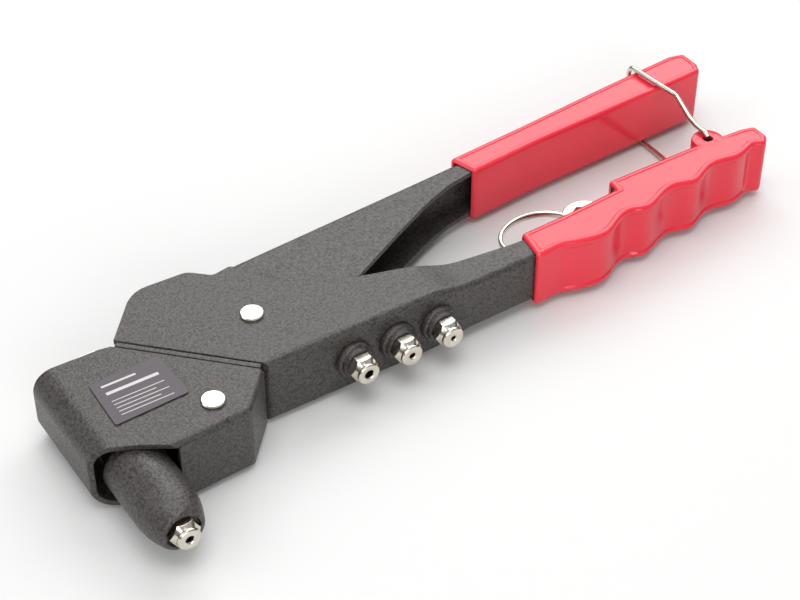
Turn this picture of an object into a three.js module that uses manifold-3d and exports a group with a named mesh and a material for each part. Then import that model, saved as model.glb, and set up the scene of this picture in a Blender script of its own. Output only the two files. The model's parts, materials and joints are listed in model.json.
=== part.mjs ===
// Swivel-head hand riveter, lying on its side with its handles closed and latched.
//
// Millimetres. +X runs along the hub towards the grips, the nose points to -Y and +Z is up.
// The origin is on the main pivot, at the flat face of its rear head, which is what the tool lies on.
// Every piece is drawn about the tool's mid-plane (z = 0) and about the hub's drawing datum, from which
// the main pivot is offset by PIVOT. The whole group is then moved so that the origin is on the pivot.

import * as THREE from 'three';
import { mergeVertices } from 'three/addons/utils/BufferGeometryUtils.js';
import Module from 'manifold-3d';

const wasm = await Module();
wasm.setup();

// Driving dimensions
const SHEET = 2;                                  // thickness of the pressed steel
const HUB_HALF = 12.5;                            // half the width of the hub and of the head
const ARM_HALF = 10;                              // half the width of both handle channels
const GRIP_HALF = 11.25;                          // half the width over the vinyl grips
const HEAD_PROUD = 1.2;                           // how far the rivet heads stand proud
const GAP = 0.3;                                  // between pieces that rest on each other
const RUNNING = 0.15;                             // between a pin and its hole
const MID = HUB_HALF + HEAD_PROUD;
const WEB_Y = -24.9;                              // outer face of the hub's web
const NOSE_X = -59.4;                             // axis of the nose barrel
const HEAD_LEFT = -73.8;                          // outer face of the head's rounded back
const HEAD_BEND = 7.5;                            // outer radius of its two bends
const DEEP = 60;                                  // reaches past any piece it cuts

// Swivel: SWIVEL_ANGLE turns +Y to the swivel axis, which points out of the hub into the head.
const SWIVEL = new THREE.Vector3(-27.65, -8.15, 0);
const SWIVEL_ANGLE = THREE.MathUtils.degToRad(135);
const OUT = new THREE.Vector3(-Math.SQRT1_2, -Math.SQRT1_2, 0);

// Mechanism
const HANDLE_OPENS = THREE.MathUtils.degToRad(40);
const LINK_ARM = 7.5;                             // main pivot to link pin
const PIVOT = new THREE.Vector3(-0.8, -1.2, 0);
const ROCKER_PIN = new THREE.Vector3(-30.9, -30.4, 0);
const PIVOT_R = 2.8;                              // shank of the two big rivets
const LINK_PIN_R = 1.8;
const CLEVIS_PIN_R = 1.6;

// The rod moves by the chord that the link pin draws, and turns the rocker by the same chord.
const ROD_STROKE = 2 * LINK_ARM * Math.sin(HANDLE_OPENS / 2);
const ROCKER_FOOT = SWIVEL.clone().addScaledVector(OUT, ROCKER_PIN.clone().sub(SWIVEL).dot(OUT));
const ROD_TO_ROCKER = ROCKER_FOOT.distanceTo(ROCKER_PIN);
const ROCKER_HALF = Math.asin(ROD_STROKE / 2 / ROD_TO_ROCKER);
const ROD_CATCH = ROCKER_FOOT.clone().addScaledVector(OUT, -ROD_STROKE / 2);
const FORK_REACH = new THREE.Vector3(NOSE_X - ROCKER_PIN.x, 10.4, 0);
const UP = new THREE.Vector3(0, 0, 1);
const FORK = FORK_REACH.clone().applyAxisAngle(UP, -ROCKER_HALF).add(ROCKER_PIN);
const LINK_REST = (Math.PI * 3) / 4 - HANDLE_OPENS / 2;
const LINK_PIN = new THREE.Vector3(LINK_ARM, 0, 0).applyAxisAngle(UP, LINK_REST).add(PIVOT);

// ---------------------------------------------------------------- solids

function solidOf(geometry) {
  geometry.deleteAttribute('normal');
  geometry.deleteAttribute('uv');
  const merged = mergeVertices(geometry, 1e-4);
  const corners = merged.index.array;
  const kept = [];
  for (let i = 0; i < corners.length; i += 3) {
    const [a, b, c] = [corners[i], corners[i + 1], corners[i + 2]];
    if (a !== b && b !== c && c !== a) kept.push(a, b, c);
  }
  const vertProperties = new Float32Array(merged.attributes.position.array);
  const closed = () => {
    const triVerts = new Uint32Array(kept);
    return new wasm.Manifold(new wasm.Mesh({ numProp: 3, vertProperties, triVerts }));
  };
  const made = closed();
  if (made.volume() > 0) return made;
  for (let i = 0; i < kept.length; i += 3) [kept[i], kept[i + 1]] = [kept[i + 1], kept[i]];
  return closed();
}

function geometryOf(solid) {
  const mesh = solid.getMesh();
  const geometry = new THREE.BufferGeometry();
  geometry.setAttribute('position', new THREE.BufferAttribute(new Float32Array(mesh.vertProperties), 3));
  geometry.setIndex(new THREE.BufferAttribute(new Uint32Array(mesh.triVerts), 1));
  geometry.computeVertexNormals();
  return geometry;
}

function join(first, ...others) {
  return others.reduce((sum, other) => sum.add(other), first);
}

function cut(first, ...tools) {
  return tools.reduce((left, tool) => left.subtract(tool), first);
}

// A closed outline. A point is [x, y] for a sharp corner or [x, y, r] for one rounded over r on each side.
function outline(points) {
  const shape = new THREE.Shape();
  points.forEach((point, i) => {
    const corner = new THREE.Vector2(point[0], point[1]);
    const towards = (other) => {
      const step = new THREE.Vector2(other[0], other[1]).sub(corner).normalize();
      return corner.clone().addScaledVector(step, point[2] ?? 0);
    };
    const from = towards(points[(i + points.length - 1) % points.length]);
    const to = towards(points[(i + 1) % points.length]);
    if (i === 0) shape.moveTo(from.x, from.y);
    else shape.lineTo(from.x, from.y);
    if (point[2]) shape.quadraticCurveTo(corner.x, corner.y, to.x, to.y);
  });
  shape.closePath();
  return shape;
}

// A plate of the given outline between two heights
function plate(shape, low, high, curveSegments = 4) {
  const options = { depth: high - low, bevelEnabled: false, curveSegments };
  return solidOf(new THREE.ExtrudeGeometry(shape, options).translate(0, 0, low));
}

// The same plate on both sides of the mid-plane
function twin(shape, inner, outer) {
  return join(plate(shape, inner, outer), plate(shape, -outer, -inner));
}

// A prism along Y whose section is drawn in X and Z
function prismAlongY(shape, low, high, curveSegments = 4) {
  return plate(shape, -high, -low, curveSegments).rotate([90, 0, 0]);
}

// A box from its low corner to its high corner
function block(low, high) {
  const size = high.map((value, i) => value - low[i]);
  const centre = high.map((value, i) => (value + low[i]) / 2);
  return solidOf(new THREE.BoxGeometry(...size).translate(...centre));
}

// A solid of revolution about Y from [radius, y] points that start and end on the axis or close on themselves
function turned(profile, segments = 24) {
  const points = profile.map(([r, y]) => new THREE.Vector2(r, y));
  return solidOf(new THREE.LatheGeometry(points, segments));
}

// A ring about Y, from [radius, y] points of its section
function ring(section, segments = 24) {
  return turned([...section, section[0]], segments);
}

// A round or oval disc's outline
function disc(at, radius, across = radius) {
  return new THREE.Shape().absellipse(at.x, at.y, radius, across, 0, 2 * Math.PI);
}

// A cylinder along Y from `low` to `high`
function barAlongY(radius, low, high, segments = 32) {
  const geometry = new THREE.CylinderGeometry(radius, radius, high - low, segments);
  return solidOf(geometry.translate(0, (low + high) / 2, 0));
}

// A cylinder along Z through (x, y)
function drum(x, y, radius, low, high, segments = 20) {
  const geometry = new THREE.CylinderGeometry(radius, radius, high - low, segments);
  return solidOf(geometry.rotateX(Math.PI / 2).translate(x, y, (low + high) / 2));
}

function moved(solid, x, y, z = 0) {
  return solid.translate([x, y, z]);
}

// A piece drawn about the Y axis, laid along the swivel axis: its +Y points out of the hub into the head
function onSwivel(solid) {
  return moved(solid.rotate([0, 0, THREE.MathUtils.radToDeg(SWIVEL_ANGLE)]), SWIVEL.x, SWIVEL.y);
}

// A piece drawn about the Y axis with its outward end at +Y, laid along the nose axis or a parallel one
function towardsNose(solid, x, y) {
  return moved(solid.rotate([0, 0, 180]), x, y);
}

// A hexagonal prism along Y
function hexAlongY(corner, low, high) {
  return barAlongY(corner, low, high, 6);
}

// Helical spring about Y
class Helix extends THREE.Curve {
  constructor(radius, low, high, turns) {
    super();
    Object.assign(this, { radius, low, high, turns });
  }

  getPoint(t, target = new THREE.Vector3()) {
    const angle = 2 * Math.PI * this.turns * t;
    const y = this.low + (this.high - this.low) * t;
    return target.set(this.radius * Math.cos(angle), y, this.radius * Math.sin(angle));
  }
}

function coil(radius, wire, low, high, turns) {
  const extrudePath = new Helix(radius, low + wire, high - wire, turns);
  const options = { steps: turns * 9, extrudePath, curveSegments: 3, bevelEnabled: false };
  return solidOf(new THREE.ExtrudeGeometry(disc({ x: 0, y: 0 }, wire), options));
}

// A straight-sided wire whose bends are rounded, each over its own length
function bentPath(points, bends) {
  const path = new THREE.CurvePath();
  let from = points[0];
  for (let i = 1; i < points.length - 1; i += 1) {
    const before = points[i].clone().add(points[i - 1].clone().sub(points[i]).setLength(bends[i]));
    const after = points[i].clone().add(points[i + 1].clone().sub(points[i]).setLength(bends[i]));
    path.add(new THREE.LineCurve3(from, before));
    path.add(new THREE.QuadraticBezierCurve3(before, points[i], after));
    from = after;
  }
  path.add(new THREE.LineCurve3(from, points[points.length - 1]));
  return path;
}

// ---------------------------------------------------------------- finishes

const FINISHES = {
  coat: { color: 0x4a4643, roughness: 0.75, metalness: 0.2 },
  nickel: { color: 0xd8d2c4, roughness: 0.22, metalness: 1 },
  steel: { color: 0x8d8f92, roughness: 0.4, metalness: 1 },
  vinyl: { color: 0xe23547, roughness: 0.35, metalness: 0 },
  label: { color: 0x6f6a72, roughness: 0.4, metalness: 0.5 },
};

const tool = new THREE.Group();
tool.position.set(-PIVOT.x, -PIVOT.y, MID);

function add(name, finish, solid) {
  const mesh = new THREE.Mesh(geometryOf(solid), new THREE.MeshStandardMaterial(FINISHES[finish]));
  mesh.name = name;
  tool.add(mesh);
}

// A rivet through both plates of a channel, with a low head on each side
function rivet(at) {
  const headRadius = 4;
  const under = HUB_HALF + GAP / 2;
  const top = HUB_HALF + HEAD_PROUD;
  const round = 0.45;
  const head = [
    [0, top], [headRadius - round, top], [headRadius, top - round], [headRadius, under], [PIVOT_R, under],
  ];
  const foot = head.map(([r, y]) => [r, -y]);
  return moved(turned([...foot, ...head.reverse()]).rotate([90, 0, 0]), at.x, at.y);
}

// ---------------------------------------------------------------- fixed body and lower grip

const EAR = new THREE.Vector2(187.3, -4.2);       // hole in the ears that hold the latch wire
const EAR_R = 4.6;                                // steel ears, inside those of the grip
const STEP_X = 140.6;                             // where the lower handle's open slot ends
const STORE_X = [23.1, 39.7, 55.8];               // stored nosepieces along the hub's web
const BOSS_R = 5;
const WEB_BEND = [67, -24.8];                     // where the web starts to lean towards the arm
const ARM_ROOT = [[95, -24], [110, -22.9]];

// Half the width of the fixed channel along X: the hub, the joggle and the arm
function channelWidth(inset) {
  const wide = HUB_HALF - inset;
  const narrow = ARM_HALF - inset;
  const upper = [[-DEEP, wide], [56.5, wide, 4], [68, narrow, 4], [230, narrow]];
  const lower = upper.map(([x, z, r]) => [x, -z, r]).reverse();
  return outline([...upper, ...lower]);
}

// The lower handle inside its grip, grown on all sides by the given amount
function armOutline(grow) {
  return [
    ...ARM_ROOT.map(([x, y]) => [x, y - grow]), [200 + grow, -12.6 - grow], [201.5 + grow, -8.2 + grow],
    [181, -6.7 + grow], [STEP_X + 1 - grow, -7 + grow], [STEP_X - 2 - grow, -12 + grow], [116, -13.9 + grow],
  ];
}

function bodyChannel() {
  const hubSide = [
    [96.5, -14.8, 6], [68.5, -11.8, 6], [39, -3.5, 8], [22.9, 2, 5], [14.2, 10.1, 4], [5.2, 24.6, 1],
    [-1.9, 23.4, 1.5], [-8.5, 29.6, 2], [-27, 30.3, 4], [-32, 26.5, 1], [-44.35, 11.8], [-7.65, WEB_Y, 1],
    WEB_BEND,
  ];
  const outside = plate(outline([...armOutline(0), ...hubSide]), -HUB_HALF, HUB_HALF);
  const web = [[-DEEP, WEB_Y], WEB_BEND, ...ARM_ROOT, [230, -9.2]].map(([x, y]) => [x, y + SHEET]);
  const inside = plate(outline([...web, [230, DEEP], [-DEEP, DEEP]]), -HUB_HALF, HUB_HALF);
  const shell = outside.intersect(prismAlongY(channelWidth(0), -DEEP, DEEP));
  const hollow = inside.intersect(prismAlongY(channelWidth(SHEET), -DEEP, DEEP));
  const pivotHole = drum(PIVOT.x, PIVOT.y, PIVOT_R + RUNNING, -DEEP, DEEP);
  const storeHoles = STORE_X.map((x) => moved(barAlongY(BOSS_R + GAP, -6, 6, 24), x, WEB_Y));
  const ears = twin(disc(EAR, EAR_R), ARM_HALF - SHEET, ARM_HALF);
  const earHole = drum(EAR.x, EAR.y, 2.2, -DEEP, DEEP);
  return cut(join(shell.subtract(hollow), ears), pivotHole, earHole, ...storeHoles);
}

const SPINDLE_R = 5.5;                            // hollow swivel spindle that the pull rod runs through
const SPINDLE_BORE = 2.7;

// Plate that closes the hub's end and carries the swivel
function hubEndPlate() {
  const slab = block([-23.3, -SHEET, -HUB_HALF + 0.2], [24.8, 0, HUB_HALF - 0.2]);
  return onSwivel(slab.subtract(barAlongY(SPINDLE_R + GAP, -10, 10)));
}

function swivelSpindle() {
  const flange = SPINDLE_R + 3;
  return onSwivel(ring([
    [SPINDLE_BORE, -7.6], [SPINDLE_R, -7.6], [SPINDLE_R, 3], [flange, 3], [flange, 5], [SPINDLE_BORE, 5],
  ]));
}

function spindleNut() {
  const nut = hexAlongY(7.6, -6.8, -SHEET - GAP);
  return onSwivel(nut.subtract(barAlongY(SPINDLE_R + GAP, -10, 10)));
}

// Threaded bush in the hub's web that holds a stored nosepiece
function storeBush(x) {
  const section = [
    [3.7, -4.2], [BOSS_R, -4.2], [BOSS_R, GAP], [6.7, GAP], [6.7, 1.6], [6.2, 2.2], [5.7, 2.2], [5.7, 3.9],
    [3.7, 3.9],
  ];
  return towardsNose(ring(section), x, WEB_Y);
}

function lowerGrip() {
  const crestsAndValleys = [
    [106, -25], [122, -28.5], [135.5, -22.8], [145, -24.5], [158, -19.7], [168, -21.5], [179, -17.2],
    [190, -18.3], [199, -15.6],
  ];
  const scallops = new THREE.SplineCurve(crestsAndValleys.map(([x, y]) => new THREE.Vector2(x, y)));
  const near = scallops.getPoints(40).map((p) => [p.x, p.y]);
  const far = [
    [203.5, -17.6, 2], [207, -14, 2], [206.8, -7, 3], [201, -5.6, 2], [178, -4.6], [STEP_X + 0.6, -4.9, 0.8],
    [STEP_X, -10, 0.4], [138.6, -10.1], [116.4, -11.8], [98, -12.5, 1.5], [95.8, -25.8, 1.5],
  ];
  const sleeve = plate(outline([...near, ...far]), -GRIP_HALF, GRIP_HALF);
  const ears = twin(disc(EAR, EAR_R + 1.4), ARM_HALF - SHEET - 1.1, GRIP_HALF);
  const mouth = [[85, -13.8], [85, -24.6]];
  const cavity = plate(outline([...mouth, ...armOutline(GAP)]), -ARM_HALF - GAP, ARM_HALF + GAP);
  const earSlots = twin(disc(EAR, EAR_R + GAP), ARM_HALF - SHEET - GAP, ARM_HALF + GAP);
  const slot = block([90, -18, -ARM_HALF + SHEET], [STEP_X, 0, ARM_HALF - SHEET]);
  return cut(join(sleeve, ears), cavity, earSlots, slot, twin(disc(EAR, 1.9), 5, DEEP));
}

// Flat ring spanner for the nosepieces, kept in the slot of the lower handle
function wrench() {
  const half = 1.3;
  const rim = 1.6;
  const loopAt = new THREE.Vector2(111.2, -5.6);
  const headAt = new THREE.Vector2(131.2, -6.6);
  const [long, wide] = [15.3, 11.8];
  const loop = plate(disc(loopAt, long, wide), -half, half, 20);
  const loopHole = plate(disc(loopAt, long - rim, wide - rim), -DEEP, DEEP, 20);
  const head = plate(disc(headAt, 8.8), -half, half, 16);
  const hexagon = drum(headAt.x, headAt.y, 5.45, -DEEP, DEEP, 6);
  return cut(join(loop, head), loopHole, hexagon);
}

// ---------------------------------------------------------------- moving handle, latch and pull rod

const WRAP = new THREE.Vector2(190.4, 46.8);      // where the latch wire crosses behind the upper grip

function handleOutline(grow) {
  return {
    near: [[104.8, 26.9 - grow], [135, 29.7 - grow], [173, 31.6 - grow], [207 + grow, 33.2 - grow]],
    far: [[208 + grow, 43.9 + grow], [175, 41.2 + grow], [135, 37.2 + grow], [97, 33.9 + grow]],
  };
}

function handleChannel() {
  const { near, far } = handleOutline(0);
  const root = [
    [-0.5, 26.8], [-11, 9, 5], [-9, -8, 7], [6, -12.5, 8], [30, -6.5, 6], [40.7, -0.5, 3], [64.7, 12.1, 5],
    [82.8, 20.9, 5], [93.9, 24.8],
  ];
  const outside = plate(outline([...near, ...far, ...root]), -ARM_HALF, ARM_HALF);
  const inner = handleOutline(-SHEET);
  const web = [[230, 45.4 - SHEET], ...inner.far.slice(1), [-20, 25.4 - SHEET], [-20, -DEEP], [230, -DEEP]];
  const hollow = plate(outline(web), -ARM_HALF + SHEET, ARM_HALF - SHEET);
  const pivotHole = drum(PIVOT.x, PIVOT.y, PIVOT_R + RUNNING, -DEEP, DEEP);
  const linkHole = drum(LINK_PIN.x, LINK_PIN.y, LINK_PIN_R + RUNNING, -DEEP, DEEP);
  return cut(outside, hollow, pivotHole, linkHole);
}

function upperGrip() {
  const sleeve = plate(outline([
    [104.8, 25.2, 1], [135, 28], [173, 29.9], [207, 31.5, 2], [213.4, 32.1, 2], [215.3, 36.2, 1.5],
    [215.3, 44.6, 3], [209, 46.1, 2], [174.6, 43.2], [135, 39.2], [101.4, 36.3, 1],
  ]), -GRIP_HALF, GRIP_HALF);
  const { near, far } = handleOutline(GAP);
  const mouth = [[90, 33.3 + GAP], [90, 25.4 - GAP]];
  return sleeve.subtract(plate(outline([...near, ...far, ...mouth]), -ARM_HALF - GAP, ARM_HALF + GAP));
}

// Wire latch: its front leg is kinked round the grip, its rear leg is nearly straight
function latchBail() {
  const wire = 1;
  const side = GRIP_HALF + GAP + wire;
  const at = (z) => ([x, y]) => new THREE.Vector3(x, y, z);
  const front = [[187.4, 2.6], [188.6, 8.3], [193.6, 22.3], [192.4, 33.3], [WRAP.x + 0.6, WRAP.y]];
  const rear = [[WRAP.x - 0.6, WRAP.y], [187.9, 33], [187.9, 21], [187.4, 2.6]];
  const tip = (z) => new THREE.Vector3(EAR.x, EAR.y, z * (side - 0.7));
  const heel = (z) => new THREE.Vector3(EAR.x, EAR.y + 1.6, z * side);
  const points = [tip(1), heel(1), ...front.map(at(side)), ...rear.map(at(-side)), heel(-1), tip(-1)];
  const bends = points.map((p) => (p.y === WRAP.y ? 2.8 : 0.8));
  const options = { steps: 72, extrudePath: bentPath(points, bends), curveSegments: 4, bevelEnabled: false };
  return solidOf(new THREE.ExtrudeGeometry(disc({ x: 0, y: 0 }, wire), options));
}

function linkPin() {
  return drum(LINK_PIN.x, LINK_PIN.y, LINK_PIN_R, -ARM_HALF - GAP, ARM_HALF + GAP);
}

// Places along the swivel axis, positive into the head
const CLEVIS_Y = -18.6;
const BUTTON_Y = ROD_CATCH.clone().sub(SWIVEL).dot(OUT) + 4.4;

function pullRod() {
  const [rodRadius, buttonRadius] = [SPINDLE_BORE - GAP, 4.6];
  const buttonEnd = BUTTON_Y + 2.2;
  const shaft = turned([
    [0, CLEVIS_Y + 4], [rodRadius, CLEVIS_Y + 4], [rodRadius, BUTTON_Y], [buttonRadius, BUTTON_Y],
    [buttonRadius, buttonEnd], [0, buttonEnd],
  ]);
  const clevis = block([-4, CLEVIS_Y - 4, -4.8], [4, CLEVIS_Y + 5, 4.8]);
  const slot = block([-10, CLEVIS_Y - 10, -2.5 - GAP], [10, CLEVIS_Y + 4, 2.5 + GAP]);
  const pinHole = drum(0, CLEVIS_Y, CLEVIS_PIN_R + RUNNING, -10, 10, 20);
  return onSwivel(cut(join(clevis, shaft), slot, pinHole));
}

function clevisPin() {
  return onSwivel(drum(0, CLEVIS_Y, CLEVIS_PIN_R, -4.8, 4.8, 20));
}

function pullLink() {
  const eye = SWIVEL.clone().addScaledVector(OUT, CLEVIS_Y);
  const half = 2.5;
  const wide = ARM_HALF - SHEET - GAP;
  const across = LINK_PIN.clone().sub(eye).cross(UP).setLength(2.2);
  const corners = [eye, LINK_PIN].map((end) => end.clone().add(across));
  corners.push(...[LINK_PIN, eye].map((end) => end.clone().sub(across)));
  const bar = plate(outline(corners.map((p) => [p.x, p.y])), -half, half);
  const eyes = [drum(eye.x, eye.y, 3.4, -half, half), drum(LINK_PIN.x, LINK_PIN.y, 3.7, -wide, wide)];
  const clevisHole = drum(eye.x, eye.y, CLEVIS_PIN_R + RUNNING, -10, 10, 20);
  const looseHole = drum(LINK_PIN.x, LINK_PIN.y, LINK_PIN_R + 0.65, -20, 20);
  return cut(join(bar, ...eyes), clevisHole, looseHole);
}

// ---------------------------------------------------------------- swivelling head

const BARREL_END = -63;
const NOSE_SINK = 1.6;                            // depth that a nosepiece's hexagon sits in the barrel
const BARREL_BORE = 7.6;

// Section of the head across the nose axis: flat plates joined by a back with two round bends
function headSection(inset, right = 20) {
  const half = HUB_HALF - inset;
  const left = HEAD_LEFT + inset;
  const bend = HEAD_BEND - inset;
  const shape = new THREE.Shape();
  shape.moveTo(right, -half);
  shape.lineTo(right, half);
  shape.absarc(left + bend, half - bend, bend, Math.PI / 2, Math.PI);
  shape.absarc(left + bend, bend - half, bend, Math.PI, (3 * Math.PI) / 2);
  shape.closePath();
  return shape;
}

function headShell() {
  const outside = plate(outline([
    [-10.4, -26.1], [-22.5, -39.8, 1], [-48.4, -41], [-49.5, -40.9, 0.4], [-58.7, -35.2], [-64.1, -32.7],
    [-75, -28], [-75, 10.7, 3], [-50.4, 10.4, 1], [-46.2, 9.7],
  ]), -HUB_HALF, HUB_HALF);
  const inside = plate(outline([
    [-8.5, -21.3], [-23.5, -37.9], [-48.4, -39.1], [-48.4, -DEEP], [-90, -DEEP], [-90, DEEP], [-8.5, DEEP],
  ]), -HUB_HALF, HUB_HALF);
  const shell = outside.intersect(prismAlongY(headSection(0), -DEEP, DEEP, 12));
  const hollow = inside.intersect(prismAlongY(headSection(SHEET), -DEEP, DEEP, 12));
  return cut(shell, hollow, drum(ROCKER_PIN.x, ROCKER_PIN.y, PIVOT_R + RUNNING, -DEEP, DEEP));
}

function headBasePlate() {
  const inner = HUB_HALF - SHEET - GAP;
  const slab = block([-22.4, 0.7, -inner], [22.8, 0.7 + SHEET, inner]);
  return onSwivel(slab.subtract(barAlongY(SPINDLE_R + RUNNING, -10, 10)));
}

function headBarrel() {
  const long = 33;
  const seat = long - NOSE_SINK;
  const section = [
    [BARREL_BORE, 0], [10.2, 0], [10.2, long - 10.5], [9.8, long - 7.5], [8.8, long - 4], [7.7, long - 0.9],
    [7, long], [5.9, long], [5.9, seat], [3.8, seat], [3.8, seat - 3.2], [BARREL_BORE, seat - 4.9],
  ];
  return towardsNose(ring(section, 30), NOSE_X, BARREL_END + long);
}

function rearCover() {
  const inner = HUB_HALF - SHEET - GAP;
  const back = prismAlongY(headSection(SHEET + GAP, -47.5), 7.6, 9.2, 12);
  const lug = block([-58.6, 9, inner - 1.8], [-50.2, 13.1, inner]);
  const outlet = moved(barAlongY(3.2, -DEEP, DEEP, 24), NOSE_X, 0);
  return cut(join(back, lug), outlet);
}

function labelPlate() {
  const corners = [[-61.2, -24.2, 1], [-35.3, -23.1, 1], [-35.8, -2.8, 1], [-60.5, -3.9, 1]];
  return plate(outline(corners), HUB_HALF + 0.2, HUB_HALF + 0.5);
}

// Rocker, drawn about its pin at half stroke, then turned back to where it rests with the handles closed
function rocker() {
  const foot = ROCKER_FOOT.clone().sub(ROCKER_PIN);
  const step = foot.clone().normalize();
  const side = new THREE.Vector3(-step.y, step.x, 0);
  const along = (distance, offset) => {
    const p = new THREE.Vector3().addScaledVector(step, distance).addScaledVector(side, offset);
    return [p.x, p.y];
  };
  const tip = ROD_TO_ROCKER + 4.2;
  const rodArm = plate(outline([along(0, -4), along(tip, -2.2), along(tip, 2.2), along(0, 4)]), -8.3, 8.3);
  const rodSlot = plate(outline([along(9, -9), along(30, -9), along(30, 9), along(9, 9)]), -2.8, 2.8);
  const [forkX, forkY] = [FORK_REACH.x, FORK_REACH.y];
  const elbow = forkX + 11.5;
  const forkArms = twin(outline([
    [0, -5], [elbow, forkY - 1.8, 3], [forkX, forkY - 1.8], [forkX, forkY + 1.8],
    [elbow - 1.4, forkY + 1.8, 3], [0, 5],
  ]), 5.3, 8.3);
  const forkEnds = twin(disc(FORK_REACH, 3.4), 5.3, 8.3);
  const whole = join(drum(0, 0, 6, -10.2, 10.2), rodArm.subtract(rodSlot), forkArms, forkEnds);
  const bored = whole.subtract(drum(0, 0, PIVOT_R + RUNNING, -DEEP, DEEP));
  return moved(bored.rotate([0, 0, -THREE.MathUtils.radToDeg(ROCKER_HALF)]), ROCKER_PIN.x, ROCKER_PIN.y);
}

// Jaw train, drawn with +Y towards the nose and y = 0 at the middle of the fork's groove
const GROOVE = 3.9;
const CASE_BACK = GROOVE + 3.2 + GAP;
const CASE_FRONT = 31.2;

function onJawAxis(solid) {
  return towardsNose(solid, NOSE_X, FORK.y);
}

function jawCase() {
  const radius = BARREL_BORE - 0.4;
  return onJawAxis(ring([
    [5.4, CASE_BACK], [radius, CASE_BACK], [radius, CASE_FRONT - 0.6], [6.6, CASE_FRONT], [3, CASE_FRONT],
    [5.4, CASE_FRONT - 9],
  ]));
}

// Its front flange enters the barrel's bore at the end of the stroke
function pullCollar() {
  const [bore, frontFlange, rearFlange] = [2.4, BARREL_BORE - 0.2, 8.2];
  return onJawAxis(ring([
    [bore, -10], [4.2, -10], [4.2, -GROOVE - 2.2], [rearFlange, -GROOVE - 2.2], [rearFlange, -GROOVE],
    [4.9, -GROOVE], [4.9, GROOVE], [frontFlange, GROOVE], [frontFlange, GROOVE + 3.2], [5.1, GROOVE + 3.2],
    [5.1, CASE_BACK + 4], [bore, CASE_BACK + 4],
  ]));
}

// One of the two tapered halves that grip a rivet's mandrel
function jaw(side) {
  const [back, front] = [CASE_FRONT - 9.5, CASE_FRONT - 2.6];
  const cone = ring([[1.2, back], [4.9, back], [3.1, front], [1.2, front]]);
  const half = block([-10, 0, side > 0 ? 0.25 : -10], [10, DEEP, side > 0 ? 10 : -0.25]);
  return onJawAxis(cone.intersect(half));
}

function jawPusher() {
  const [back, collar, front] = [CASE_FRONT - 14, CASE_FRONT - 12, CASE_FRONT - 9.9];
  return onJawAxis(ring([
    [1.6, back], [3, back], [3, collar], [4.9, collar], [4.9, front - 0.7], [2.2, front], [1.6, front],
  ]));
}

function pusherSpring() {
  return onJawAxis(coil(4, 0.45, CASE_BACK + 4 + GAP, CASE_FRONT - 12 - GAP, 4));
}

function returnSpring() {
  return moved(coil(6.2, 0.75, FORK.y + GROOVE + 2.2 + GAP, 7.6 - GAP, 4), NOSE_X, 0);
}

// Nosepiece, drawn with its seat at y = 0 and its tip at +Y
function nosepiece(bore) {
  const profile = ring([
    [bore, -4.4], [3.4, -4.4], [3.4, 0.15], [5.3, 0.15], [5.3, 2.5], [3.5, 4.3], [3.9, 4.6], [3.9, 5.4],
    [3.6, 5.7], [bore + 0.3, 5.7], [bore, 5.4],
  ], 18);
  return profile.intersect(hexAlongY(5.2, -10, 10));
}

// ---------------------------------------------------------------- assembly

add('body_channel', 'coat', bodyChannel());
add('hub_end_plate', 'coat', hubEndPlate());
add('swivel_spindle', 'steel', swivelSpindle());
add('spindle_nut', 'steel', spindleNut());
add('main_pivot_rivet', 'nickel', rivet(PIVOT));
add('lower_grip', 'vinyl', lowerGrip());
add('nosepiece_wrench', 'nickel', wrench());

add('handle_channel', 'coat', handleChannel());
add('upper_grip', 'vinyl', upperGrip());
add('link_pin', 'steel', linkPin());
add('latch_bail', 'nickel', latchBail());
add('pull_link', 'steel', pullLink());
add('clevis_pin', 'steel', clevisPin());
add('pull_rod', 'steel', pullRod());

add('head_shell', 'coat', headShell());
add('head_base_plate', 'coat', headBasePlate());
add('head_barrel', 'coat', headBarrel());
add('rear_cover', 'nickel', rearCover());
add('label_plate', 'label', labelPlate());
add('rocker_rivet', 'nickel', rivet(ROCKER_PIN));
add('rocker', 'steel', rocker());

add('jaw_case', 'steel', jawCase());
add('pull_collar', 'steel', pullCollar());
add('jaw_upper', 'steel', jaw(1));
add('jaw_lower', 'steel', jaw(-1));
add('jaw_pusher', 'steel', jawPusher());
add('pusher_spring', 'steel', pusherSpring());
add('return_spring', 'steel', returnSpring());

const FITTED_BORE = 1.3;                          // for 4.0 mm rivets
const STORED_BORES = [1.55, 1.05, 0.85];          // for 4.8, 3.2 and 2.4 mm rivets
const STORE_SEAT = WEB_Y - 4.2;
add('nosepiece_fitted', 'nickel', towardsNose(nosepiece(FITTED_BORE), NOSE_X, BARREL_END + NOSE_SINK));
STORE_X.forEach((x, i) => {
  add(`store_bush_${i + 1}`, 'coat', storeBush(x));
  add(`nosepiece_stored_${i + 1}`, 'nickel', towardsNose(nosepiece(STORED_BORES[i]), x, STORE_SEAT));
});

export default tool;
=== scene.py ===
"""Studio scene of a swivel-head hand riveter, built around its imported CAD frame."""

import json
from math import cos, pi, radians, sin

import bmesh
import bpy
from mathutils import Matrix, Vector


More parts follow.
